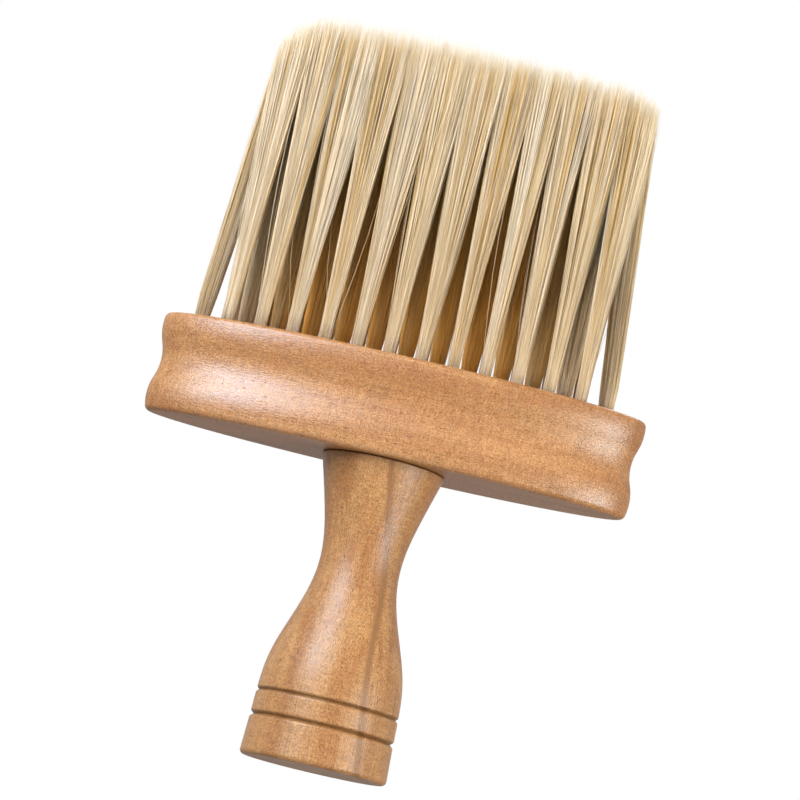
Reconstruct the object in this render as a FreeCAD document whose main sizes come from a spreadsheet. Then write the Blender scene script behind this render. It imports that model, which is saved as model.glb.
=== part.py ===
import FreeCAD, Part
import os

import Sketcher
from FreeCAD import Placement, Rotation, Vector

# Neck duster brush: a turned wooden handle under an oval wooden block that holds rows of nylon
# filament tufts. It stands upright on the handle's flat base.
# Frame: origin at the centre of that base, +Z up the handle, +X along the block, +Y across it.

SIZES = {
    # Handle. Heights go up from its base, drops go down from its top.
    "handle_length": 66.1,
    "base_radius": 15.8,
    "foot_radius": 15.4,
    "foot_rise": 7.0,
    "band_radius": 15.3,
    "band_rise": 14.5,
    "shoulder_radius": 14.7,
    "shoulder_rise": 22.0,
    "neck_radius": 8.9,
    "neck_drop": 28.0,
    "waist_radius": 8.1,
    "waist_drop": 19.0,
    "flare_radius": 10.4,
    "flare_drop": 10.0,
    "top_radius": 13.35,
    "base_edge_round": 1.0,
    "top_edge_round": 0.5,
    # Two incised rings round the lower band.
    "lower_ring_rise": 8.7,
    "ring_spacing": 5.2,
    "ring_width": 1.1,
    "ring_depth": 0.7,
    "ring_lip_round": 0.6,
    # Block. Its outline is an ellipse and a cove runs round its edge between two flanges.
    "block_length": 105.2,
    "block_depth": 31.5,
    "block_height": 21.5,
    "lower_crest_rise": 3.65,
    "upper_crest_drop": 2.5,
    "cove_depth": 1.38,
    "block_edge_round": 1.3,
    # Tuft holes: two side rows, a middle row half a pitch out of step, and one hole at each end.
    "hole_radius": 1.5,
    "hole_depth": 9.5,
    "end_margin": 8.3,
    "side_margin": 8.75,
    "side_row_inset": 6.0,
    "field_shift": -0.8,
    # Tufts.
    "tuft_play": 0.05,
    "bristle_length": 71.5,
    "row_gather": 0.98,
    "end_gather": 0.9,
    "tip_gap": 0.3,
    "tip_drop": 1.5,
    "fan_sink": 0.3,
    "fan_step": 0.15,
    # Wire anchors that pin each folded tuft in its hole.
    "fold_thickness": 1.2,
    "anchor_bite": 0.25,
    "anchor_height": 2.0,
    "anchor_thickness": 0.35,
    # Double-ended screw that joins the handle and the block. The web is the wood left between its
    # bore and the tuft holes, and sets how far it goes into the block.
    "screw_radius": 2.5,
    "screw_root_radius": 1.8,
    "screw_tip": 1.5,
    "thread_pitch": 2.0,
    "plain_shank": 2.0,
    "screw_in_handle": 24.0,
    "bore_web": 3.2,
    "bore_play": 0.05,
    "bore_spare": 0.8,
}

SIDE_TUFTS = 12
MIDDLE_TUFTS = SIDE_TUFTS - 1

doc = FreeCAD.newDocument("NeckDuster")

sheet = doc.addObject("Spreadsheet::Sheet", "Sizes")
for row, (alias, size) in enumerate(SIZES.items(), start=1):
    sheet.set(f"A{row}", alias)
    sheet.set(f"B{row}", str(size))
    sheet.setAlias(f"B{row}", alias)
doc.recompute()


# Lengths worked out from the sheet. Each is an expression, so it follows its sizes.

BLOCK_TOP = "(Sizes.handle_length + Sizes.block_height)"
HOLE_FLOOR = f"({BLOCK_TOP} - Sizes.hole_depth)"
ANCHOR_WIDTH = "(2 * Sizes.hole_radius + 2 * Sizes.anchor_bite)"
BORE_ROOF = "(Sizes.block_height - Sizes.hole_depth - Sizes.bore_web)"
SCREW_IN_BLOCK = f"({BORE_ROOF} - Sizes.bore_spare)"
BORE_RADIUS = "(Sizes.screw_radius + Sizes.bore_play)"
CREST_SPAN = "(Sizes.block_height - Sizes.lower_crest_rise - Sizes.upper_crest_drop)"
CREST_X = "(Sizes.block_length / 2)"
COVE_RADIUS = f"(({CREST_SPAN} ^ 2 / 16 + Sizes.cove_depth ^ 2 / 4) / Sizes.cove_depth)"
ROW_SPACING = "(Sizes.block_depth / 2 - Sizes.side_margin)"
END_HALF = "(Sizes.block_length / 2 - Sizes.end_margin)"
SIDE_HALF = f"({END_HALF} - Sizes.side_row_inset)"
PITCH = f"(2 * {SIDE_HALF} / {SIDE_TUFTS - 1})"
MIDDLE_HALF = f"({SIDE_HALF} - {PITCH} / 2)"
END_PITCH = f"(2 * {END_HALF})"
TIP_RADIUS = f"(min({PITCH} * Sizes.row_gather; {ROW_SPACING}) / 2 - Sizes.tip_gap / 2)"
END_TIP_ROOM = f"({END_HALF} * Sizes.end_gather - {MIDDLE_HALF} * Sizes.row_gather)"
END_TIP_RADIUS = f"(min({END_TIP_ROOM} - {TIP_RADIUS} - Sizes.tip_gap; {TIP_RADIUS}))"

# Each row: its name, how many tufts, half its length, their pitch and its place across the block.
ROWS = (
    ("front", SIDE_TUFTS, SIDE_HALF, PITCH, f"-{ROW_SPACING}"),
    ("middle", MIDDLE_TUFTS, MIDDLE_HALF, PITCH, "0"),
    ("back", SIDE_TUFTS, SIDE_HALF, PITCH, ROW_SPACING),
    ("end", 2, END_HALF, END_PITCH, "0"),
)


def value_of(expression):
    """The present value of an expression, as a plain number."""
    value = sheet.evalExpression(expression)
    return float(getattr(value, "Value", value))


def bind(thing, **bindings):
    """Bind properties to expressions; a double underscore stands for the dot of a sub-property."""
    for name, expression in bindings.items():
        thing.setExpression(name.replace("__", "."), expression)


def add_sketch(body, role, name):
    """A sketch on one of the body's own origin planes."""
    sketch = body.newObject("Sketcher::SketchObject", name)
    plane = next(item for item in body.Origin.OriginFeatures if item.Role == role)
    sketch.AttachmentSupport = [(plane, "")]
    sketch.MapMode = "FlatFace"
    return sketch


def bound_constraint(sketch, constraint, expression):
    """Add a dimension to a sketch and bind its value."""
    index = sketch.addConstraint(constraint)
    sketch.setExpression(f"Constraints[{index}]", expression)


def place_point(sketch, geometry, end, x, y):
    """Dimension one point of a sketch from the sketch's origin."""
    for kind, axis, expression in (("DistanceX", -2, x), ("DistanceY", -1, y)):
        distance = value_of(expression)
        if abs(distance) < 1e-9:
            sketch.addConstraint(Sketcher.Constraint("PointOnObject", geometry, end, axis))
        else:
            dimension = Sketcher.Constraint(kind, -1, 1, geometry, end, distance)
            bound_constraint(sketch, dimension, expression)


def add_outline(sketch, corners):
    """Closed outline of (x, y, bulge radius) corners, each dimensioned from the origin.

    The radius shapes the side that leaves the corner: None is a straight side, a positive radius
    curves to the left of the direction of travel and a negative one to its right.
    """
    points = [Vector(value_of(x), value_of(y), 0) for x, y, _ in corners]
    sides = []
    for index, (_, _, radius) in enumerate(corners):
        start, end = points[index], points[(index + 1) % len(points)]
        if radius is None:
            sides.append((sketch.addGeometry(Part.LineSegment(start, end)), 1, 2))
            continue
        signed = value_of(radius)
        chord = end - start
        across = Vector(-chord.y, chord.x, 0).normalize()
        rise = abs(signed) - (signed ** 2 - chord.Length ** 2 / 4) ** 0.5
        side_of_chord = 1 if signed > 0 else -1
        middle = (start + end) / 2 + across * (rise * side_of_chord)
        arc = Part.ArcOfCircle(start, middle, end)
        # A sketch stores arcs anticlockwise, so a left-hand bulge runs from its end to its start.
        first, last = (2, 1) if signed > 0 else (1, 2)
        geometry = sketch.addGeometry(arc)
        sides.append((geometry, first, last))
        magnitude = radius if signed > 0 else f"-({radius})"
        dimension = Sketcher.Constraint("Radius", geometry, abs(signed))
        bound_constraint(sketch, dimension, magnitude)
    for index, (x, y, _) in enumerate(corners):
        geometry, first, _ = sides[index]
        before, _, last = sides[index - 1]
        sketch.addConstraint(Sketcher.Constraint("Coincident", before, last, geometry, first))
        place_point(sketch, geometry, first, x, y)


def add_spline(sketch, poles):
    """A smooth cubic curve whose control points are dimensioned from the origin."""
    places = [Vector(value_of(x), value_of(y), 0) for x, y in poles]
    curve = Part.BSplineCurve(places, None, None, False, 3, None, False)
    spline = sketch.addGeometry(curve)
    for index, (x, y) in enumerate(poles):
        circle = Part.Circle(places[index], Vector(0, 0, 1), 1.0)
        control = sketch.addGeometry(circle, True)
        sketch.addConstraint(Sketcher.Constraint("Weight", control, 1.0))
        kind = "InternalAlignment:Sketcher::BSplineControlPoint"
        sketch.addConstraint(Sketcher.Constraint(kind, control, 3, spline, index))
        place_point(sketch, control, 3, x, y)
    return spline


def edge_names(feature, height, reach):
    """Names of the outermost edge loop that lies flat within reach of a height."""
    flat = []
    for number, edge in enumerate(feature.Shape.Edges, start=1):
        box = edge.BoundBox
        if box.ZLength < 1e-4 and abs(box.ZMin - height) < reach:
            flat.append((box.DiagonalLength, f"Edge{number}"))
    longest = max(length for length, _ in flat)
    return [name for length, name in flat if length > 0.99 * longest]


def revolve(body, kind, sketch, name):
    """Turn a sketch round the body's Z axis, adding or cutting."""
    feature = body.newObject(f"PartDesign::{kind}", name)
    feature.Profile = sketch
    feature.ReferenceAxis = (sketch, ["V_Axis"])
    feature.Angle = 360
    sketch.Visibility = False
    return feature


def round_edge(body, height, radius, name, reach=1e-3):
    """Round the outer edge of the body at a height."""
    doc.recompute()
    base = body.Tip
    fillet = body.newObject("PartDesign::Fillet", name)
    fillet.Base = (base, edge_names(base, value_of(height), reach))
    fillet.Radius = value_of(radius)
    bind(fillet, Radius=radius)
    return fillet


# ---- Handle ------------------------------------------------------------------------------------

def make_handle():
    """Turned handle: a ringed band over the base, a full shoulder, a thin waist and a flared top."""
    body = doc.addObject("PartDesign::Body", "Handle")
    body.Label = "handle"
    profile = add_sketch(body, "XZ_Plane", "HandleProfile")
    top = "Sizes.handle_length"
    shoulder = ("Sizes.shoulder_radius", "Sizes.shoulder_rise")
    neck = ("Sizes.neck_radius", f"{top} - Sizes.neck_drop")
    below_neck = tuple(f"({low} + {high}) / 2" for low, high in zip(shoulder, neck))
    curve = add_spline(profile, (
        ("Sizes.base_radius", "0"),
        ("Sizes.foot_radius", "Sizes.foot_rise"),
        ("Sizes.band_radius", "Sizes.band_rise"),
        shoulder,
        below_neck,
        neck,
        ("Sizes.waist_radius", f"{top} - Sizes.waist_drop"),
        ("Sizes.flare_radius", f"{top} - Sizes.flare_drop"),
        ("Sizes.top_radius", top),
    ))
    base_centre = Vector(0, 0, 0)
    base_corner = Vector(value_of("Sizes.base_radius"), 0, 0)
    top_centre = Vector(0, value_of(top), 0)
    top_corner = Vector(value_of("Sizes.top_radius"), top_centre.y, 0)
    top_side = profile.addGeometry(Part.LineSegment(top_corner, top_centre))
    axis_side = profile.addGeometry(Part.LineSegment(top_centre, base_centre))
    base_side = profile.addGeometry(Part.LineSegment(base_centre, base_corner))
    for first, first_end, second, second_end in (
        (curve, 2, top_side, 1),
        (top_side, 2, axis_side, 1),
        (axis_side, 2, base_side, 1),
        (base_side, 2, curve, 1),
    ):
        profile.addConstraint(Sketcher.Constraint("Coincident", first, first_end, second, second_end))
    profile.addConstraint(Sketcher.Constraint("Horizontal", top_side))
    profile.addConstraint(Sketcher.Constraint("PointOnObject", axis_side, 1, -2))
    profile.addConstraint(Sketcher.Constraint("Coincident", axis_side, 2, -1, 1))
    revolve(body, "Revolution", profile, "HandleTurning")
    doc.recompute()

    # Each ring is a V cut. Its outline runs past the band's surface by as much as it goes in.
    for index in range(2):
        rings = add_sketch(body, "XZ_Plane", f"RingProfile{index + 1}")
        height = f"Sizes.lower_ring_rise + {index} * Sizes.ring_spacing"
        outside = "Sizes.band_radius + Sizes.ring_depth"
        add_outline(rings, (
            ("Sizes.band_radius - Sizes.ring_depth", height, None),
            (outside, f"{height} - Sizes.ring_width", None),
            (outside, f"{height} + Sizes.ring_width", None),
        ))
        revolve(body, "Groove", rings, f"IncisedRing{index + 1}")
        for side in (-1, 1):
            lip = f"{height} + {side} * Sizes.ring_width / 2"
            round_edge(body, lip, "Sizes.ring_lip_round", f"Ring{index + 1}Lip{side + 2}", reach=0.3)

    bore = add_sketch(body, "XZ_Plane", "HandleBoreProfile")
    floor = f"{top} - Sizes.screw_in_handle - Sizes.bore_spare"
    add_outline(bore, (
        ("0", floor, None),
        (BORE_RADIUS, floor, None),
        (BORE_RADIUS, top, None),
        ("0", top, None),
    ))
    revolve(body, "Groove", bore, "HandleBore")
    round_edge(body, "0", "Sizes.base_edge_round", "BaseEdge")
    round_edge(body, top, "Sizes.top_edge_round", "TopEdge")
    return body


# ---- Block -------------------------------------------------------------------------------------

def make_block_blank():
    """Oval block with its coved edge, its screw bore and three rows of tuft holes."""
    body = doc.addObject("PartDesign::Body", "BlockBlank")
    plan = add_sketch(body, "XY_Plane", "BlockPlan")
    half_length = value_of("Sizes.block_length / 2")
    half_depth = value_of("Sizes.block_depth / 2")
    ellipse = Part.Ellipse(Vector(half_length, 0, 0), Vector(0, half_depth, 0), Vector(0, 0, 0))
    outline = plan.addGeometry(ellipse)
    plan.exposeInternalGeometry(outline)
    long_axis, short_axis = 1, 2
    plan.addConstraint(Sketcher.Constraint("Coincident", outline, 3, -1, 1))
    plan.addConstraint(Sketcher.Constraint("PointOnObject", long_axis, 1, -1))
    for axis, size in ((long_axis, "Sizes.block_length"), (short_axis, "Sizes.block_depth")):
        bound_constraint(plan, Sketcher.Constraint("Distance", axis, value_of(size)), size)
    pad = body.newObject("PartDesign::Pad", "BlockThickness")
    pad.Profile = plan
    pad.Length = value_of("Sizes.block_height")
    bind(pad, Length="Sizes.block_height")
    doc.recompute()

    # The edge cutter follows the outline. Its face is a convex flange, the cove and a second flange.
    cutter = add_sketch(body, "XZ_Plane", "EdgeCutter")
    overrun = "1"
    outside = f"{CREST_X} + 4"
    lower_crest = "Sizes.lower_crest_rise"
    upper_crest = "(Sizes.block_height - Sizes.upper_crest_drop)"
    turn_x = f"{CREST_X} - Sizes.cove_depth / 2"
    low_reach = f"({lower_crest} + {overrun})"
    high_reach = f"(Sizes.upper_crest_drop + {overrun})"
    low_x = f"{CREST_X} - {COVE_RADIUS} + sqrt({COVE_RADIUS} ^ 2 - {low_reach} ^ 2)"
    high_x = f"{CREST_X} - {COVE_RADIUS} + sqrt({COVE_RADIUS} ^ 2 - {high_reach} ^ 2)"
    add_outline(cutter, (
        (low_x, f"-{overrun}", f"-{COVE_RADIUS}"),
        (turn_x, f"{lower_crest} + {CREST_SPAN} / 4", COVE_RADIUS),
        (turn_x, f"{upper_crest} - {CREST_SPAN} / 4", f"-{COVE_RADIUS}"),
        (high_x, f"Sizes.block_height + {overrun}", None),
        (outside, f"Sizes.block_height + {overrun}", None),
        (outside, f"-{overrun}", None),
    ))
    edging = body.newObject("PartDesign::SubtractivePipe", "CovedEdge")
    edging.Profile = cutter
    edging.Spine = (plan, ["Edge1"])
    edging.Mode = "Binormal"
    edging.Binormal = Vector(0, 0, 1)
    round_edge(body, "0", "Sizes.block_edge_round", "UndersideEdge")
    round_edge(body, "Sizes.block_height", "Sizes.block_edge_round", "UpperEdge")

    bore = add_sketch(body, "XZ_Plane", "BlockBoreProfile")
    add_outline(bore, (
        ("0", "0", None),
        (BORE_RADIUS, "0", None),
        (BORE_RADIUS, BORE_ROOF, None),
        ("0", BORE_ROOF, None),
    ))
    revolve(body, "Groove", bore, "BlockBore")

    for row, count, half, _, y in ROWS:
        first = add_sketch(body, "XY_Plane", f"{row.title()}Hole")
        bind(first, AttachmentOffset__Base__z="Sizes.block_height")
        x = f"Sizes.field_shift - {half}"
        centre = Vector(value_of(x), value_of(y), 0)
        circle = first.addGeometry(Part.Circle(centre, Vector(0, 0, 1), value_of("Sizes.hole_radius")))
        dimension = Sketcher.Constraint("Radius", circle, value_of("Sizes.hole_radius"))
        bound_constraint(first, dimension, "Sizes.hole_radius")
        place_point(first, circle, 3, x, y)
        hole = body.newObject("PartDesign::Pocket", f"{row.title()}HolePocket")
        hole.Profile = first
        hole.Length = value_of("Sizes.hole_depth")
        bind(hole, Length="Sizes.hole_depth")
        pattern = body.newObject("PartDesign::LinearPattern", f"{row.title()}Holes")
        pattern.Originals = [hole]
        pattern.Direction = (first, ["H_Axis"])
        pattern.Occurrences = count
        pattern.Length = value_of(f"2 * {half}")
        bind(pattern, Length=f"2 * {half}")
        body.Tip = pattern
        doc.recompute()
    bind(body, Placement__Base__z="Sizes.handle_length")
    return body


# ---- Anchors and tufts -------------------------------------------------------------------------

def make_anchor(name, x, y):
    """Flat wire anchor across one hole, just above the fold of the tuft."""
    anchor = doc.addObject("Part::Box", f"Anchor_{name}")
    bind(
        anchor,
        Length=ANCHOR_WIDTH,
        Width="Sizes.anchor_thickness",
        Height="Sizes.anchor_height",
        Placement__Base__x=f"{x} - {ANCHOR_WIDTH} / 2",
        Placement__Base__y=f"{y} - Sizes.anchor_thickness / 2",
        Placement__Base__z=f"{HOLE_FLOOR} + Sizes.fold_thickness",
    )
    return anchor


def make_tuft(name, x, tip_x, y, tip_radius, anchor):
    """One tuft: a round root that fills its hole, fanning out to the tips and leaning inward."""
    root_radius = "Sizes.hole_radius - Sizes.tuft_play"
    root = doc.addObject("Part::Cylinder", f"Root_{name}")
    bind(
        root,
        Radius=root_radius,
        Height="Sizes.hole_depth",
        Placement__Base__x=x,
        Placement__Base__y=y,
        Placement__Base__z=HOLE_FLOOR,
    )
    # The fan starts a little way down the hole and a step inside the root, so that its tilt keeps
    # it within the root's flat end.
    share_out = f"(({x} - Sizes.field_shift) / {END_HALF})"
    rise = f"(Sizes.bristle_length + Sizes.fan_sink - Sizes.tip_drop * {share_out} ^ 2)"
    lean = f"atan(({tip_x} - {x}) / {rise})"
    fan = doc.addObject("Part::Cone", f"Fan_{name}")
    fan.Placement = Placement(Vector(0, 0, 0), Rotation(Vector(0, 1, 0), value_of(lean)))
    bind(
        fan,
        Radius1=f"{root_radius} - Sizes.fan_step",
        Radius2=tip_radius,
        Height=f"{rise} / cos({lean})",
        Placement__Rotation__Angle=lean,
        Placement__Base__x=x,
        Placement__Base__y=y,
        Placement__Base__z=f"{BLOCK_TOP} - Sizes.fan_sink",
    )
    bundle = doc.addObject("Part::MultiFuse", f"Bundle_{name}")
    bundle.Shapes = [root, fan]
    tuft = doc.addObject("Part::Cut", f"Tuft_{name}")
    tuft.Base = bundle
    tuft.Tool = anchor
    tuft.Label = f"tuft_{name}"
    return tuft


def make_tufts_and_anchors():
    """Every tuft, and one group of all their anchors."""
    tufts = []
    anchors = []
    for row, count, half, pitch, y in ROWS:
        gather = "Sizes.end_gather" if row == "end" else "Sizes.row_gather"
        tip_radius = END_TIP_RADIUS if row == "end" else TIP_RADIUS
        for index in range(count):
            name = f"{row}_{index + 1:02d}"
            from_centre = f"({index} * {pitch} - {half})"
            x = f"(Sizes.field_shift + {from_centre})"
            tip_x = f"(Sizes.field_shift + {from_centre} * {gather})"
            anchor = make_anchor(name, x, y)
            anchors.append(anchor)
            tufts.append(make_tuft(name, x, tip_x, y, tip_radius, anchor))
    group = doc.addObject("Part::Compound", "Anchors")
    group.Links = anchors
    group.Label = "tuft_anchors"
    return tufts, group


def make_block(anchors):
    """The block with a slot in each hole's wall where its anchor's ends bite."""
    blank = make_block_blank()
    block = doc.addObject("Part::Cut", "Block")
    block.Base = blank
    block.Tool = anchors
    block.Label = "brush_block"
    return block


# ---- Screw -------------------------------------------------------------------------------------

def make_screw():
    """Double-ended screw: a plain shank with a ridged, pointed wood thread at either end."""
    body = doc.addObject("PartDesign::Body", "DowelScrew")
    body.Label = "dowel_screw"
    profile = add_sketch(body, "XZ_Plane", "ScrewProfile")
    major = "Sizes.screw_radius"
    root = "Sizes.screw_root_radius"
    corners = []
    for direction, reach in ((-1, "Sizes.screw_in_handle"), (1, SCREW_IN_BLOCK)):
        thread_end = f"{reach} - Sizes.screw_tip"
        thread = value_of(f"{thread_end} - Sizes.plain_shank / 2")
        turns = int(thread / value_of("Sizes.thread_pitch"))
        flanks = [("0", f"{direction} * {reach}", None)]
        flanks.append((root, f"{direction} * ({thread_end})", None))
        for turn in range(turns):
            crest = f"{direction} * ({thread_end} - {turn + 0.5} * Sizes.thread_pitch)"
            valley = f"{direction} * ({thread_end} - {turn + 1} * Sizes.thread_pitch)"
            flanks.append((major, crest, None))
            flanks.append((root, valley, None))
        shank_end = f"{direction} * Sizes.plain_shank / 2"
        flanks.append((major, shank_end, None))
        corners.extend(flanks if direction < 0 else reversed(flanks))
    add_outline(profile, corners)
    revolve(body, "Revolution", profile, "ScrewTurning")
    bind(body, Placement__Base__z="Sizes.handle_length")
    return body


# ---- Build and write ---------------------------------------------------------------------------

handle = make_handle()
screw = make_screw()
tufts, anchors = make_tufts_and_anchors()
block = make_block(anchors)
doc.recompute()

pieces = [handle, block, screw, anchors] + tufts

for item in doc.Objects:
    if "Invalid" in item.State or "Error" in item.State:
        raise RuntimeError(f"{item.Label} failed: {item.State}")
for piece in pieces:
    if piece.Shape.isNull() or not piece.Shape.isValid():
        raise RuntimeError(f"{piece.Label} has no valid shape")

os.makedirs("parts", exist_ok=True)
for piece in pieces:
    piece.Shape.exportStep(f"parts/{piece.Label}.step")
print(f"{len(pieces)} nodes written")
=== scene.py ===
import math

import bpy
import numpy as np
from mathutils import Matrix, Vector


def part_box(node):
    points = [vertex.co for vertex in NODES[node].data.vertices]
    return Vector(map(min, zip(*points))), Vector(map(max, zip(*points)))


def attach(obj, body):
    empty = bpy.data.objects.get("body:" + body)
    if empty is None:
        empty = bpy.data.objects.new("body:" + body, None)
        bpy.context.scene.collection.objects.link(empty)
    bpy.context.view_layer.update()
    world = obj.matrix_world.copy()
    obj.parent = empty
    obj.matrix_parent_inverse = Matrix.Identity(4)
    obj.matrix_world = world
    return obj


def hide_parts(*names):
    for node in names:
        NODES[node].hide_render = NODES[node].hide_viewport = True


# Neck duster brush: filament tufts, finishes, floor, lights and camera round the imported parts.
# Metres, in the parts' own frame: the brush stands on its base at the origin, +Z up.

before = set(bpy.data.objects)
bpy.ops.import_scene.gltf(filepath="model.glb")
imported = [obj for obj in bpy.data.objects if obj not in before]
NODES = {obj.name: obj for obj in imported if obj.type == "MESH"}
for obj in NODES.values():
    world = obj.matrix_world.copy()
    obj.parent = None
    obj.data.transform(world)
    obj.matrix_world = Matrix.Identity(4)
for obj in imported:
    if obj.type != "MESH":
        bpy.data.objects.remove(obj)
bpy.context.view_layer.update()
TUFT_NODES = sorted(node for node in NODES if node.startswith("tuft_") and node != "tuft_anchors")
BLOCK_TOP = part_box("brush_block")[1].z
HANDLE_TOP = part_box("handle")[1].z

MM = 0.001


# ---- Shader building ---------------------------------------------------------------------------

def add_node(tree, kind, place=(0, 0), **settings):
    """Add a node; settings are its plain properties."""
    node = tree.nodes.new(kind)
    node.location = place
    for name, value in settings.items():
        setattr(node, name, value)
    return node


def link(tree, source, target):
    tree.links.new(source, target)


def scaled_noise(tree, vector, scale, detail=2.0, roughness=0.5, distortion=0.0):
    """Noise whose feature count per metre differs along each axis."""
    mapping = add_node(tree, "ShaderNodeMapping")
    mapping.inputs["Scale"].default_value = scale
    link(tree, vector, mapping.inputs["Vector"])
    noise = add_node(tree, "ShaderNodeTexNoise")
    noise.inputs["Scale"].default_value = 1.0
    noise.inputs["Detail"].default_value = detail
    noise.inputs["Roughness"].default_value = roughness
    noise.inputs["Distortion"].default_value = distortion
    link(tree, mapping.outputs["Vector"], noise.inputs["Vector"])
    return noise.outputs["Fac"]


def remap(tree, value, low, high, new_low=0.0, new_high=1.0, kind="SMOOTHSTEP"):
    """Map a value's range onto another, clamped."""
    node = add_node(tree, "ShaderNodeMapRange", interpolation_type=kind)
    for name, number in (
        ("From Min", low), ("From Max", high), ("To Min", new_low), ("To Max", new_high),
    ):
        node.inputs[name].default_value = number
    link(tree, value, node.inputs["Value"])
    return node.outputs["Result"]


def math_node(tree, operation, first, second=0):
    """One arithmetic step; either side may be a number or a socket."""
    node = add_node(tree, "ShaderNodeMath", operation=operation)
    for socket, value in zip(node.inputs, (first, second)):
        if isinstance(value, (int, float)):
            socket.default_value = value
        else:
            link(tree, value, socket)
    return node.outputs[0]


def mix_colour(tree, factor, first, second, blend="MIX"):
    """Mix two colours; each may be a colour or a socket, and so may the factor."""
    node = add_node(tree, "ShaderNodeMix", data_type="RGBA", blend_type=blend)
    for socket, value in zip((node.inputs[0], node.inputs[6], node.inputs[7]), (factor, first, second)):
        if isinstance(value, (int, float)):
            socket.default_value = value
        elif isinstance(value, tuple):
            socket.default_value = (*value, 1.0)
        else:
            link(tree, value, socket)
    return node.outputs[2]


def new_group(name, inputs, outputs):
    """An empty shader group with named sockets; each is (name, socket type, default or None)."""
    group = bpy.data.node_groups.new(name, "ShaderNodeTree")
    for direction, sockets in (("INPUT", inputs), ("OUTPUT", outputs)):
        for socket_name, socket_type, default in sockets:
            socket = group.interface.new_socket(socket_name, in_out=direction, socket_type=socket_type)
            if default is not None:
                socket.default_value = default
    entry = add_node(group, "NodeGroupInput", (-1200, 0))
    leave = add_node(group, "NodeGroupOutput", (900, 0))
    return group, entry, leave


def place_group(tree, group, **values):
    """Place a group in a material with its own values; a socket is linked, a number is set."""
    node = add_node(tree, "ShaderNodeGroup", node_tree=group)
    for name, value in values.items():
        socket = node.inputs[name.replace("_", " ")]
        if isinstance(value, bpy.types.NodeSocket):
            link(tree, value, socket)
        elif isinstance(value, tuple) and len(value) == 3 and socket.type == "RGBA":
            socket.default_value = (*value, 1.0)
        else:
            socket.default_value = value
    return node


def new_material(name):
    """A node material with its Principled shader."""
    material = bpy.data.materials.new(name)
    material.use_nodes = True
    tree = material.node_tree
    tree.nodes.clear()
    output = add_node(tree, "ShaderNodeOutputMaterial", (900, 0))
    shader = add_node(tree, "ShaderNodeBsdfPrincipled", (600, 0))
    link(tree, shader.outputs["BSDF"], output.inputs["Surface"])
    return material, tree, shader


def add_bump(tree, height, distance):
    """Full strength bump; distance is how many metres deep a height of one is."""
    bump = add_node(tree, "ShaderNodeBump", (400, -300))
    bump.inputs["Strength"].default_value = 1.0
    bump.inputs["Distance"].default_value = distance
    link(tree, height, bump.inputs["Height"])
    return bump.outputs["Normal"]


# ---- Finishes ----------------------------------------------------------------------------------

# Features of the wood per metre, along the grain and across it both ways.
GROWTH_BANDS = (9, 150, 190)
GROWTH_LINES = (10, 520, 620)
FIBRES = (260, 3000, 3000)
FLECKS = (2900, 3900, 3900)
CURLS = (1700, 420, 420)
PORES = (320, 3600, 3600)
FLECK_DEEP = (0.76, 0.60, 0.38)   # a fleck tints the wood between these two
FLECK_PALE = (1.22, 1.30, 1.44)
FLECK_HEIGHT = 0.6                # against the fibres' own height
PORE_DEPTH = 1.5
EDGE_REACH = 1.0 * MM             # how far from a crisp edge the paling starts: rubbed wear, and partly a painted highlight
EDGE_WEAR_AND_HIGHLIGHT_STRENGTH = 0.30
EDGE_PALER = 1.25
STREAK_WANDER = 0.2 * MM
STREAK_CORE = 0.20 * MM           # half width of the full dark, then of the whole streak
STREAK_HALF_WIDTH = 1.0 * MM
STREAK_DARKNESS = 0.90
STREAK_DEEPER = 0.75              # against the late wood
RING_CORE = 0.35                  # share of a ring's half width that is fully darkened
RING_DARK_DEEPER = 0.35               # against the pores
VARNISH_BUMP = 0.075 * MM
VARNISH_TINT = (0.74, 0.89, 1.0, 1)
FREE_END_COLOUR = (0.95, 0.89, 0.78)
FILAMENT_GLOSS = 0.45
SCRATCH_DEPTH = 0.01 * MM


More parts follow.
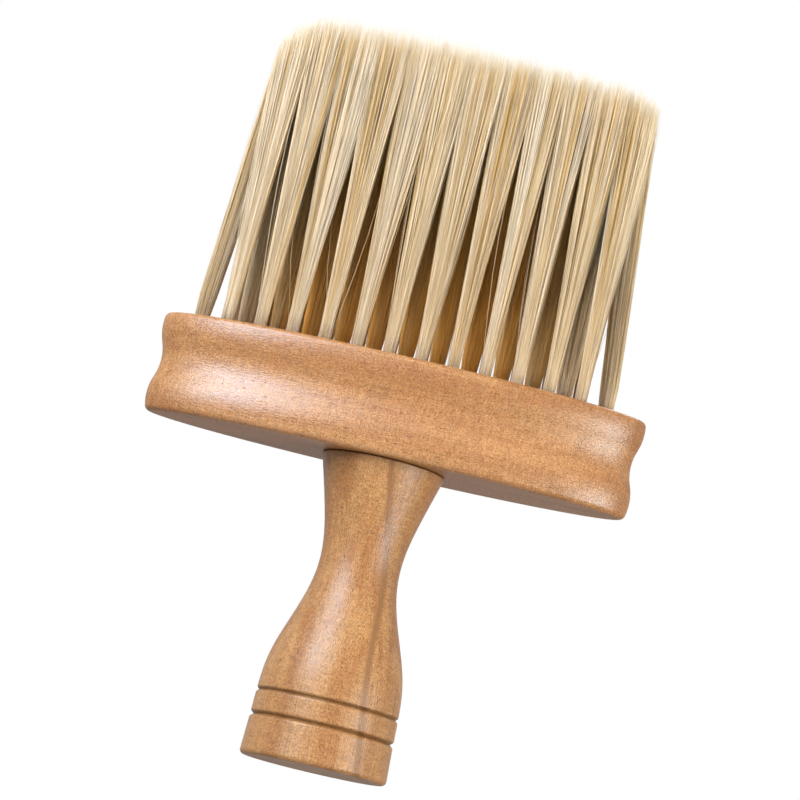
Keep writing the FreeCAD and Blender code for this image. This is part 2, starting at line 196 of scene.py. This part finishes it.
def make_wood_figure():
    """Figure of a fine close-grained hardwood. The grain runs along the vector's X."""
    group, entry, leave = new_group(
        "wood_figure",
        (
            ("Vector", "NodeSocketVector", None),
            ("Early Wood", "NodeSocketColor", (0.66, 0.36, 0.17, 1)),
            ("Late Wood", "NodeSocketColor", (0.50, 0.24, 0.09, 1)),
            ("Pore Colour", "NodeSocketColor", (0.22, 0.09, 0.04, 1)),
        ),
        (
            ("Colour", "NodeSocketColor", None),
            ("Fleck", "NodeSocketFloat", None),
            ("Height", "NodeSocketFloat", None),
        ),
    )
    vector = entry.outputs["Vector"]
    bands = scaled_noise(group, vector, GROWTH_BANDS, detail=3, roughness=0.55, distortion=0.6)
    lines = scaled_noise(group, vector, GROWTH_LINES, detail=2, roughness=0.6, distortion=0.3)
    fibres = scaled_noise(group, vector, FIBRES, detail=2)
    flecks = scaled_noise(group, vector, FLECKS, detail=2, roughness=0.75)
    curls = scaled_noise(group, vector, CURLS, detail=2, roughness=0.65)
    pores = scaled_noise(group, vector, PORES, detail=1)

    tone = remap(group, bands, 0.34, 0.68)
    tone = math_node(group, "ADD", tone, remap(group, lines, 0.56, 0.70, 0.0, 0.55))
    base = mix_colour(group, tone, entry.outputs["Early Wood"], entry.outputs["Late Wood"])
    grain_tint = remap(group, fibres, 0.25, 0.75, 0.86, 1.14, "LINEAR")
    curl_tint = remap(group, curls, 0.34, 0.66, 0.88, 1.12, "LINEAR")
    tint = math_node(group, "MULTIPLY", grain_tint, curl_tint)
    shaded = mix_colour(group, 1.0, base, tint, blend="MULTIPLY")
    # Each fleck turns from warm and deep to pale and rosy.
    fleck = remap(group, flecks, 0.36, 0.64, 0.0, 1.0, "LINEAR")
    fleck_colour = mix_colour(group, fleck, FLECK_DEEP, FLECK_PALE)
    shaded = mix_colour(group, 1.0, shaded, fleck_colour, blend="MULTIPLY")
    pore_mask = remap(group, pores, 0.735, 0.80)
    colour = mix_colour(group, pore_mask, shaded, entry.outputs["Pore Colour"])
    link(group, colour, leave.inputs["Colour"])
    link(group, flecks, leave.inputs["Fleck"])
    height = math_node(group, "ADD", math_node(group, "MULTIPLY", flecks, FLECK_HEIGHT), fibres)
    height = math_node(group, "SUBTRACT", height, math_node(group, "MULTIPLY", pore_mask, PORE_DEPTH))
    link(group, height, leave.inputs["Height"])
    return group


def make_edge_wear_and_highlight():
    """How near a surface is to a crisp outer edge, where it is paled as rubbed wear and painted
    highlight: 0 on the flat, 1 on the edge.
    """
    group, entry, leave = new_group(
        "edge_wear_and_highlight",
        (("Breakup", "NodeSocketFloat", 0.5),),
        (("Mask", "NodeSocketFloat", None),),
    )
    bevel = add_node(group, "ShaderNodeBevel", samples=4)
    bevel.inputs["Radius"].default_value = EDGE_REACH
    geometry = add_node(group, "ShaderNodeNewGeometry")
    dot = add_node(group, "ShaderNodeVectorMath", operation="DOT_PRODUCT")
    link(group, bevel.outputs["Normal"], dot.inputs[0])
    link(group, geometry.outputs["Normal"], dot.inputs[1])
    edge = remap(group, dot.outputs["Value"], 0.999, 0.90)
    broken = remap(group, entry.outputs["Breakup"], 0.35, 0.65, 0.3, 1.0)
    link(group, math_node(group, "MULTIPLY", edge, broken), leave.inputs["Mask"])
    return group


def make_varnished_wood(name, figure, edge_paling, turn, shift, early, late, pore, gloss, streak=None, rings=()):
    """Satin varnished wood; turn lays the piece's grain direction along the figure's X.

    A streak is a dark growth line, given as a direction across it and its distance from the origin.
    Rings are turned lines painted darker, along grooves or as painted shade at a joint: each has a
    height, a half width and a darkness.
    """
    material, tree, shader = new_material(name)
    place = add_node(tree, "ShaderNodeTexCoord", (-1400, 0))
    lay = add_node(tree, "ShaderNodeMapping", (-1200, 0))
    lay.inputs["Rotation"].default_value = turn
    lay.inputs["Location"].default_value = shift
    link(tree, place.outputs["Object"], lay.inputs["Vector"])
    wood = place_group(
        tree, figure, Vector=lay.outputs["Vector"], Early_Wood=early, Late_Wood=late, Pore_Colour=pore,
    )
    worn_and_lit_edge = place_group(tree, edge_paling, Breakup=wood.outputs["Fleck"])
    # Crisp edges turn paler: partly rubbed varnish, partly a painted highlight along the rims.
    pale = tuple(min(1.0, channel * EDGE_PALER) for channel in early)
    edge_pale_share = math_node(tree, "MULTIPLY", worn_and_lit_edge.outputs["Mask"], EDGE_WEAR_AND_HIGHLIGHT_STRENGTH)
    colour = mix_colour(tree, edge_pale_share, wood.outputs["Colour"], pale)
    if streak:
        direction, offset = streak
        across = add_node(tree, "ShaderNodeVectorMath", operation="DOT_PRODUCT")
        across.inputs[1].default_value = direction
        link(tree, place.outputs["Object"], across.inputs[0])
        wander = remap(
            tree, wood.outputs["Fleck"], 0.3, 0.7, -STREAK_WANDER, STREAK_WANDER, "LINEAR",
        )
        away = math_node(tree, "SUBTRACT", across.outputs["Value"], offset)
        away = math_node(tree, "ABSOLUTE", math_node(tree, "ADD", away, wander))
        dark_line = remap(tree, away, STREAK_CORE, STREAK_HALF_WIDTH, STREAK_DARKNESS, 0.0)
        deep = tuple(STREAK_DEEPER * channel for channel in late)
        colour = mix_colour(tree, dark_line, colour, deep)
    # Colour of the rings: darker along the incised grooves, and painted shade along the joint under the
    # block.
    ring_dark_colour = tuple(RING_DARK_DEEPER * channel for channel in pore)
    for height, half_width, darkness in rings:
        split = add_node(tree, "ShaderNodeSeparateXYZ")
        link(tree, place.outputs["Object"], split.inputs["Vector"])
        away = math_node(tree, "ABSOLUTE", math_node(tree, "SUBTRACT", split.outputs["Z"], height))
        ring_darkening = remap(tree, away, RING_CORE * half_width, half_width, darkness, 0.0)
        colour = mix_colour(tree, ring_darkening, colour, ring_dark_colour)
    link(tree, colour, shader.inputs["Base Color"])
    satin = remap(tree, wood.outputs["Fleck"], 0.36, 0.64, 0.26, 0.46, "LINEAR")
    link(tree, satin, shader.inputs["Roughness"])
    normal = add_bump(tree, wood.outputs["Height"], VARNISH_BUMP)
    link(tree, normal, shader.inputs["Normal"])
    shader.inputs["Specular IOR Level"].default_value = gloss
    shader.inputs["Specular Tint"].default_value = VARNISH_TINT
    return material


def tone_ramp(tree, factor, stops):
    """Colour ramp through (position, colour) stops."""
    node = add_node(tree, "ShaderNodeValToRGB")
    ramp = node.color_ramp
    ramp.elements[0].position, ramp.elements[1].position = stops[0][0], stops[-1][0]
    ramp.elements[0].color, ramp.elements[1].color = (*stops[0][1], 1), (*stops[-1][1], 1)
    for position, colour in stops[1:-1]:
        ramp.elements.new(position).color = (*colour, 1)
    link(tree, factor, node.inputs["Fac"])
    return node.outputs["Color"]


def make_filament_finish():
    """Cream nylon filament. The strand map's U is the strand's tone and its V runs root to tip.

    Tones under a half are the deep gold painted shade of the tufts' inside, and those above it the cream
    outside.
    """
    material, tree, shader = new_material("nylon_filament")
    strand = add_node(tree, "ShaderNodeUVMap", (-1400, 0), uv_map="OFBake")
    split = add_node(tree, "ShaderNodeSeparateXYZ", (-1200, 0))
    link(tree, strand.outputs["UV"], split.inputs["Vector"])
    tone, along = split.outputs["X"], split.outputs["Y"]
    # The low tones are the deep gold painted shade of the strands inside the field.
    near_root = tone_ramp(tree, tone, (
        (0.0, (0.92, 0.46, 0.06)), (0.38, (0.86, 0.50, 0.14)),
        (0.56, (0.72, 0.51, 0.24)), (1.0, (0.82, 0.70, 0.52)),
    ))
    near_tip = tone_ramp(tree, tone, (
        (0.0, (0.92, 0.46, 0.05)), (0.44, (0.86, 0.52, 0.15)), (0.52, (0.62, 0.38, 0.10)),
        (0.62, (0.78, 0.57, 0.27)), (0.74, (0.87, 0.71, 0.46)), (1.0, (0.91, 0.81, 0.64)),
    ))
    blended = mix_colour(tree, remap(tree, along, 0.15, 0.72), near_root, near_tip)
    drift = scaled_noise(tree, strand.outputs["UV"], (90, 14, 1), detail=2)
    drift_tint = remap(tree, drift, 0.3, 0.7, 0.90, 1.06, "LINEAR")
    varied = mix_colour(tree, 1.0, blended, drift_tint, blend="MULTIPLY")
    tip_bleach = remap(tree, along, 0.92, 1.0, 0.0, 0.50)
    root_bleach = math_node(
        tree, "MULTIPLY", remap(tree, along, 0.14, 0.03, 0.0, 0.25), remap(tree, tone, 0.45, 0.6),
    )
    paling = math_node(tree, "ADD", tip_bleach, root_bleach)
    # Inside the field the painted shade fades out at the free ends, which turn pale though the strands
    # below them are painted deep gold.
    shade_fade_at_ends = math_node(
        tree, "MULTIPLY", remap(tree, along, 0.78, 0.96, 0.0, 0.5), remap(tree, tone, 0.52, 0.42),
    )
    paling = math_node(tree, "ADD", paling, shade_fade_at_ends)
    colour = mix_colour(tree, paling, varied, FREE_END_COLOUR)
    link(tree, colour, shader.inputs["Base Color"])
    sheen = remap(tree, drift, 0.3, 0.7, 0.34, 0.50, "LINEAR")
    link(tree, sheen, shader.inputs["Roughness"])
    shader.inputs["Specular IOR Level"].default_value = FILAMENT_GLOSS
    return material


def make_steel_finish():
    """Drawn bright steel with fine lengthwise scratches."""
    material, tree, shader = new_material("drawn_steel")
    place = add_node(tree, "ShaderNodeTexCoord", (-1400, 0))
    scratches = scaled_noise(tree, place.outputs["Object"], (6000, 6000, 400), detail=2)
    cloud = scaled_noise(tree, place.outputs["Object"], (300, 300, 300), detail=3)
    colour = mix_colour(tree, cloud, (0.50, 0.49, 0.47), (0.66, 0.65, 0.62))
    link(tree, colour, shader.inputs["Base Color"])
    link(tree, remap(tree, scratches, 0.3, 0.7, 0.22, 0.42, "LINEAR"), shader.inputs["Roughness"])
    link(tree, add_bump(tree, scratches, SCRATCH_DEPTH), shader.inputs["Normal"])
    shader.inputs["Metallic"].default_value = 1.0
    return material


def dress(node, material):
    """Give a carried-over part its finish."""
    part = NODES[node]
    part.data.materials.clear()
    part.data.materials.append(material)


# ---- Filament tufts ----------------------------------------------------------------------------

SEED = 700
STRANDS = 820                # free ends in one tuft
STRAND_RADIUS = 0.048 * MM
GAUGE_SPREAD = (0.8, 1.2)    # thinnest and thickest strand against that
STRAND_STEPS = 9             # rings along one strand
STRAND_SIDES = 3
TAPER_START = 0.86           # share of a strand's length at which it starts to thin
TIP_GAUGE = 0.15
TONE_LOW = 0.02              # the tones' place and width on the strand map
TONE_SPAN = 0.96
TONE_STRIP = 0.02            # width of a strand's strip there
INSIDE_TONE = 0.50           # tones above this are the outside of the field, and those below it the painted shade inside
STRAND_TONE = 0.17           # how far tone varies from strand to strand and from lock to lock
LOCK_TONE = 0.33

IN_HOLE = 2.5 * MM           # how far a strand is followed down its hole
OUTER_ROOT_FILL = 0.86       # how much of its root a tuft fills, in the outer rows and inside them
INNER_ROOT_FILL = 0.99
OUTER_ROW_Y = 1 * MM         # tufts further than this from the middle are in the outer rows
MOUTH_BULGE = 0.50 * MM      # how far an inner tuft swells as it leaves its hole
BULGE_RISE = 0.02
FAN_RADIUS = 3.9 * MM        # how far the tips spread from the tuft's own axis
END_FAN_RADIUS = 1.7 * MM
FAN_DEPTH = 0.95             # the fan's depth against its width
FAN_JITTER = 0.10
OPENING = (0.90, 1.22)       # share of its length by which a tuft has opened fully

LOCKS = 130                  # small locks that the strands of a tuft gather into
LOCK_FIELD = 0.85            # share of the fan that the locks' centres lie in
LOCK_PULL = 0.24
LOCK_LIFT = 0.35 * MM
BOW = 0.12 * MM
SECOND_BOW = 0.45            # double bend against the single one
STRAY_SHARE = 0.012
STRAY_BOW = 1.5 * MM
TIP_SCATTER = 0.9 * MM
TIP_SINK = 1.5 * MM
SHORT_SHARE = 0.05
SHORT_BY = (1.5 * MM, 6 * MM)
TUFT_SWAY = 0.3 * MM         # how far a whole tuft wanders at its tip

FIELD_HALF_LENGTH = 46 * MM
FIELD_HALF_DEPTH = 8.6 * MM
OUTSIDE_FROM = 0.50          # share of the way out of the field at which its outside tone takes over from the painted shade
OUTSIDE_SPAN = 0.30
CORNER_REACH = (31 * MM, 34.5 * MM)   # beyond these, left and right, the field's top edge rounds off
CORNER_SPAN = 8.4 * MM
CORNER_DROP = 4.2 * MM


def tuft_axis(node):
    """Root centre, root radius and tip centre of a tuft, from its own solid."""
    corners = np.empty(len(NODES[node].data.vertices) * 3)
    NODES[node].data.vertices.foreach_get("co", corners)
    corners = corners.reshape(-1, 3)
    low = corners[corners[:, 2] < corners[:, 2].min() + 0.05 * MM]
    high = corners[corners[:, 2] > corners[:, 2].max() - 0.5 * MM]
    root = (low.max(0) + low.min(0)) / 2
    tip = (high.max(0) + high.min(0)) / 2
    return root, float(low[:, 0].max() - root[0]), tip


def disc_points(rng, count, radius, power=0.5):
    """Random places in a disc; a power over 0.5 crowds them towards its middle."""
    distance = radius * rng.random(count) ** power
    angle = rng.random(count) * math.tau
    return np.stack([distance * np.cos(angle), distance * np.sin(angle)], axis=1)


def strand_paths(rng, root, root_radius, tip, field_x, end_side):
    """Centre lines and tones of a tuft's strands: arrays (strand, step, xyz) and (strand,)."""
    outer_row = abs(root[1]) > OUTER_ROW_Y
    root_radius *= OUTER_ROOT_FILL if outer_row else INNER_ROOT_FILL
    start = disc_points(rng, STRANDS, root_radius)
    share = start / root_radius
    spread = np.full(STRANDS, FAN_RADIUS)
    if end_side:
        spread[share[:, 0] * end_side > 0] = END_FAN_RADIUS
    # Tufts press against each other at their tips, so there the round bundle is nearly square.
    reach = np.linalg.norm(share, axis=1) + 1e-9
    square = share * (reach / np.abs(share).max(axis=1).clip(1e-9))[:, None]
    jitter = rng.normal(0, FAN_JITTER, (STRANDS, 2))
    fan = np.stack([spread, np.full(STRANDS, FAN_RADIUS * FAN_DEPTH)], axis=1)
    finish = (square + jitter) * fan

    lock_centres = disc_points(rng, LOCKS, FAN_RADIUS * LOCK_FIELD)
    gaps = np.linalg.norm(finish[:, None, :] - lock_centres[None, :, :], axis=2)
    lock = gaps.argmin(axis=1)
    lock_lift = rng.normal(0, LOCK_LIFT, LOCKS)
    pull = LOCK_PULL * rng.uniform(0.4, 1.0, STRANDS)[:, None]
    finish = finish + (lock_centres[lock] - finish) * pull

    finish = finish + rng.normal(0, TUFT_SWAY, 2)
    height = tip[2] - TIP_SINK - np.abs(rng.normal(0, TIP_SCATTER, STRANDS)) + lock_lift[lock]
    short = rng.random(STRANDS) < SHORT_SHARE
    height[short] -= rng.uniform(*SHORT_BY, short.sum())
    across = tip[0] + finish[:, 0] - field_x
    outward = np.abs(across) - np.where(across < 0, *CORNER_REACH)
    height -= CORNER_DROP * np.clip(outward / CORNER_SPAN, 0, 1.4) ** 2

    along = np.linspace(0, 1, STRAND_STEPS)[None, :, None]
    rise = np.clip((along - 0.03) / 0.97, 0, 1)
    opening = np.clip(along / rng.uniform(*OPENING), 0, 1)
    opening = opening ** 2 * (3 - 2 * opening)
    bulge = 0 if outer_row else MOUTH_BULGE * (1 - np.exp(-rise / BULGE_RISE)) * (1 - rise)
    centre = root[None, None, :2] + (tip - root)[None, None, :2] * rise
    spread_out = start[:, None, :] + (finish - start)[:, None, :] * opening
    flat = centre + spread_out + share[:, None, :] * bulge
    bow = rng.normal(0, BOW, (STRANDS, 2))
    stray = rng.random(STRANDS) < (0 if end_side else STRAY_SHARE)
    bow[stray] = rng.normal(0, STRAY_BOW, (int(stray.sum()), 2))
    flat = flat + bow[:, None, :] * np.sin(math.pi * rise)
    second = rng.normal(0, BOW * SECOND_BOW, (STRANDS, 2))
    flat = flat + second[:, None, :] * np.sin(2 * math.pi * rise)

    bottom = BLOCK_TOP - IN_HOLE
    z = bottom + (height[:, None] - bottom) * along[:, :, 0]
    paths = np.concatenate([flat, z[:, :, None]], axis=2)
    # Strands inside the field are toned below the half, in painted shade, and those on its outside above
    # it.
    starts = root[None, :2] + start
    way_out = np.hypot((starts[:, 0] - field_x) / FIELD_HALF_LENGTH, starts[:, 1] / FIELD_HALF_DEPTH)
    outside = np.clip((way_out - OUTSIDE_FROM) / OUTSIDE_SPAN, 0, 1)
    tones = STRAND_TONE * rng.random(STRANDS) + LOCK_TONE * rng.random(LOCKS)[lock]
    tones = tones + INSIDE_TONE * outside
    return paths, tones


def strand_mesh(name, rng, paths, tones):
    """One mesh of closed, tapered tubes round the strands' centre lines."""
    count, steps, _ = paths.shape
    along = np.linspace(0, 1, steps)
    taper = np.clip((1 - along) / (1 - TAPER_START), 0, 1) ** 0.7 * (1 - TIP_GAUGE) + TIP_GAUGE
    gauge = STRAND_RADIUS * rng.uniform(*GAUGE_SPREAD, count)
    radius = gauge[:, None] * taper[None, :]
    side_turn = np.arange(STRAND_SIDES)[None, :] * math.tau / STRAND_SIDES
    turn = rng.random(count)[:, None] * math.tau + side_turn
    ring = np.stack([np.cos(turn), np.sin(turn), np.zeros_like(turn)], axis=2)
    points = paths[:, :, None, :] + radius[:, :, None, None] * ring[:, None, :, :]

    strand = np.arange(count)[:, None, None] * steps * STRAND_SIDES
    step = np.arange(steps - 1)[None, :, None] * STRAND_SIDES
    side = np.arange(STRAND_SIDES)[None, None, :]
    after = (side + 1) % STRAND_SIDES
    walls = np.stack([
        strand + step + side, strand + step + after,
        strand + step + STRAND_SIDES + after, strand + step + STRAND_SIDES + side,
    ], axis=-1).reshape(-1, 4)
    foot = strand[:, 0, :] + side[0, :, ::-1]
    top = strand[:, 0, :] + (steps - 1) * STRAND_SIDES + side[0]
    caps = np.concatenate([foot.reshape(-1, 3), top.reshape(-1, 3)])

    mesh = bpy.data.meshes.new(name)
    corners = np.concatenate([walls.ravel(), caps.ravel()]).astype(np.int32)
    sizes = np.concatenate([np.full(len(walls), 4), np.full(len(caps), 3)])
    starts = np.concatenate([[0], np.cumsum(sizes)[:-1]]).astype(np.int32)
    mesh.vertices.add(points.size // 3)
    mesh.vertices.foreach_set("co", points.ravel())
    mesh.loops.add(len(corners))
    mesh.loops.foreach_set("vertex_index", corners)
    mesh.polygons.add(len(sizes))
    mesh.polygons.foreach_set("loop_start", starts)
    mesh.polygons.foreach_set("use_smooth", np.ones(len(sizes), bool))

    # Across the map runs the strand's tone, and up it the way from root to tip.
    index = corners // (steps * STRAND_SIDES)
    level = (corners // STRAND_SIDES) % steps
    across = (corners % STRAND_SIDES + 0.5) / STRAND_SIDES
    u = TONE_LOW + TONE_SPAN * tones[index] + TONE_STRIP * (across - 0.5)
    uv = np.stack([u, along[level]], axis=1)
    mesh.uv_layers.new(name="OFBake").data.foreach_set("uv", uv.ravel())
    mesh.update(calc_edges=True)
    mesh.validate()
    return mesh


def make_tufts(finish):
    """A filament bundle in the place of every tuft solid."""
    axes = {node: tuft_axis(node) for node in TUFT_NODES}
    roots_x = [root[0] for root, _, _ in axes.values()]
    field_x = (min(roots_x) + max(roots_x)) / 2
    for number, node in enumerate(TUFT_NODES):
        root, root_radius, tip = axes[node]
        rng = np.random.default_rng(SEED + number)
        end_side = 0             # -1 for the left end tuft, 1 for the right one
        if root[0] in (min(roots_x), max(roots_x)):
            end_side = int(math.copysign(1, root[0] - field_x))
        paths, tones = strand_paths(rng, root, root_radius, tip, field_x, end_side)
        mesh = strand_mesh(f"{node}_filaments", rng, paths, tones)
        mesh.materials.append(finish)
        bundle = bpy.data.objects.new(f"{node}_filaments", mesh)
        bpy.context.scene.collection.objects.link(bundle)
        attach(bundle, "root")
        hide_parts(node)


# ---- Floor, light and camera -------------------------------------------------------------------

FLOOR_REACH = 4.0
FLOOR_LEVEL = -0.2 * MM
FLOOR_CLEARS = (0.12, 0.55)      # distances from the brush at which the floor starts and ends clearing
SEEN_WHITE = 1.0
LIT_BELOW = 0.34                 # the surroundings' strength as a light, under the horizon and over it
LIT_ABOVE = 0.54


def make_floor():
    """Pale floor. It is seen from above only, and lets light reach the underside of the brush."""
    material, tree, shader = new_material("pale_floor")
    shader.inputs["Base Color"].default_value = (0.86, 0.86, 0.86, 1)
    shader.inputs["Roughness"].default_value = 0.7
    clear = add_node(tree, "ShaderNodeBsdfTransparent", (600, -300))
    geometry = add_node(tree, "ShaderNodeNewGeometry", (300, 300))
    choose = add_node(tree, "ShaderNodeMixShader", (800, 200))
    # It also clears with distance, so that it has no far edge.
    place = add_node(tree, "ShaderNodeTexCoord", (-300, 100))
    distance = add_node(tree, "ShaderNodeVectorMath", (0, 100), operation="LENGTH")
    link(tree, place.outputs["Object"], distance.inputs[0])
    far = remap(tree, distance.outputs["Value"], *FLOOR_CLEARS)
    clearing = math_node(tree, "MAXIMUM", geometry.outputs["Backfacing"], far)
    link(tree, clearing, choose.inputs[0])
    link(tree, shader.outputs["BSDF"], choose.inputs[1])
    link(tree, clear.outputs["BSDF"], choose.inputs[2])
    link(tree, choose.outputs["Shader"], tree.nodes["Material Output"].inputs["Surface"])
    mesh = bpy.data.meshes.new("floor")
    corners = [
        (side_x * FLOOR_REACH, side_y * FLOOR_REACH, FLOOR_LEVEL)
        for side_x, side_y in ((-1, -1), (1, -1), (1, 1), (-1, 1))
    ]
    mesh.from_pydata(corners, [], [(0, 1, 2, 3)])
    mesh.materials.append(material)
    floor = bpy.data.objects.new("floor", mesh)
    bpy.context.scene.collection.objects.link(floor)
    floor.visible_diffuse = False
    floor.visible_glossy = False
    floor.visible_shadow = False


def make_surroundings():
    """White surroundings to the eye, dimmer as a light and more so below."""
    world = bpy.data.worlds.new("studio")
    bpy.context.scene.world = world
    world.use_nodes = True
    tree = world.node_tree
    tree.nodes.clear()
    output = add_node(tree, "ShaderNodeOutputWorld", (600, 0))
    seen = add_node(tree, "ShaderNodeBackground", (200, 100))
    seen.inputs["Color"].default_value = (1, 1, 1, 1)
    seen.inputs["Strength"].default_value = SEEN_WHITE
    lit = add_node(tree, "ShaderNodeBackground", (200, -100))
    lit.inputs["Color"].default_value = (0.97, 0.98, 1.0, 1)
    direction = add_node(tree, "ShaderNodeTexCoord", (-600, -100))
    split = add_node(tree, "ShaderNodeSeparateXYZ", (-400, -100))
    link(tree, direction.outputs["Generated"], split.inputs["Vector"])
    strength = remap(tree, split.outputs["Z"], -0.20, 0.05, LIT_BELOW, LIT_ABOVE)
    link(tree, strength, lit.inputs["Strength"])
    path = add_node(tree, "ShaderNodeLightPath", (0, 300))
    choose = add_node(tree, "ShaderNodeMixShader", (400, 0))
    link(tree, path.outputs["Is Camera Ray"], choose.inputs[0])
    link(tree, lit.outputs["Background"], choose.inputs[1])
    link(tree, seen.outputs["Background"], choose.inputs[2])
    link(tree, choose.outputs["Shader"], output.inputs["Surface"])


LIGHT_AIM = Vector((0.0, 0.0, 0.09))


def toward(azimuth, elevation, distance):
    """A place at a distance from the brush; azimuth 0 is in front of it and grows to the right."""
    turn, rise = math.radians(azimuth), math.radians(elevation)
    flat = math.cos(rise)
    way = Vector((flat * math.sin(turn), -flat * math.cos(turn), math.sin(rise)))
    return LIGHT_AIM + distance * way


def add_softbox(name, azimuth, elevation, distance, width, height, watts, colour=(1, 1, 1)):
    """A studio softbox facing the brush; it lights but isn't seen itself."""
    light = bpy.data.lights.new(name, "AREA")
    light.shape = "RECTANGLE"
    light.size = width
    light.size_y = height
    light.energy = watts
    light.color = colour
    lamp = bpy.data.objects.new(name, light)
    lamp.location = toward(azimuth, elevation, distance)
    lamp.rotation_euler = (LIGHT_AIM - lamp.location).to_track_quat("-Z", "Y").to_euler()
    lamp.visible_camera = False
    bpy.context.scene.collection.objects.link(lamp)


def light_studio():
    add_softbox("key", -39, 30, 0.75, 0.30, 0.55, 7.7, (0.955, 1.0, 1.10))
    add_softbox("right_fill", 58, -10, 0.90, 0.30, 0.40, 6.3, (1.0, 0.97, 0.90))
    add_softbox("low_bounce", -15, -55, 0.90, 0.50, 0.50, 0.9)
    add_softbox("back_top", 170, 50, 0.90, 0.50, 0.50, 3.4)


CAMERA_YAW = -1.0            # degrees, as are the rise and the roll
CAMERA_RISE = 8.83
CAMERA_ROLL = 13.19
CAMERA_DISTANCE = 0.760
CAMERA_AIM = Vector((0.00025, 0.0, 0.0805))
CAMERA_LENS = 160.8


def place_camera():
    """Long lens a little below the block, looking up, rolled so that the brush leans right."""
    yaw, rise = math.radians(CAMERA_YAW), math.radians(CAMERA_RISE)
    flat = math.cos(rise)
    forward = Vector((math.sin(yaw) * flat, math.cos(yaw) * flat, math.sin(rise)))
    data = bpy.data.cameras.new("camera")
    data.lens = CAMERA_LENS
    data.sensor_width = 36
    data.clip_start = 0.01
    camera = bpy.data.objects.new("camera", data)
    level = forward.to_track_quat("-Z", "Y").to_matrix()
    roll = Matrix.Rotation(math.radians(CAMERA_ROLL), 3, "Z")
    place = Matrix.Translation(CAMERA_AIM - forward * CAMERA_DISTANCE)
    camera.matrix_world = place @ (level @ roll).to_4x4()
    bpy.context.scene.collection.objects.link(camera)
    bpy.context.scene.camera = camera


# ---- Assembly ----------------------------------------------------------------------------------

# Height, half width and darkness of each line: the two incised rings, then the painted shade
# under the block at the joint, soft and wide first and then narrow and nearly black.
HANDLE_RINGS = (
    (8.7 * MM, 0.70 * MM, 0.45), (13.9 * MM, 0.70 * MM, 0.45),
    (HANDLE_TOP, 2.40 * MM, 0.25), (HANDLE_TOP, 0.45 * MM, 0.95),
)
HANDLE_STREAK = ((1, -0.19, 0.115), 11.75 * MM)   # across it, and how far out it lies
GRAIN_ALONG_X = (0, 0, 0)
GRAIN_ALONG_Z = (0, math.radians(90), 0)

wood_figure = make_wood_figure()
edge_wear_and_highlight = make_edge_wear_and_highlight()
block_wood = make_varnished_wood(
    "block_wood", wood_figure, edge_wear_and_highlight, turn=GRAIN_ALONG_X, shift=(0.31, 0.02, 0.055),
    early=(0.45, 0.222, 0.080), late=(0.36, 0.158, 0.048), pore=(0.16, 0.06, 0.03), gloss=0.85,
)
handle_wood = make_varnished_wood(
    "handle_wood", wood_figure, edge_wear_and_highlight, turn=GRAIN_ALONG_Z, shift=(0.12, 0.47, 0.03),
    early=(0.435, 0.229, 0.086), late=(0.35, 0.157, 0.050), pore=(0.16, 0.06, 0.02), gloss=0.55,
    streak=HANDLE_STREAK, rings=HANDLE_RINGS,
)
steel = make_steel_finish()
dress("brush_block", block_wood)
dress("handle", handle_wood)
dress("dowel_screw", steel)
dress("tuft_anchors", steel)
make_tufts(make_filament_finish())
make_floor()
make_surroundings()
light_studio()
place_camera()
bpy.context.scene.view_settings.view_transform = "Standard"
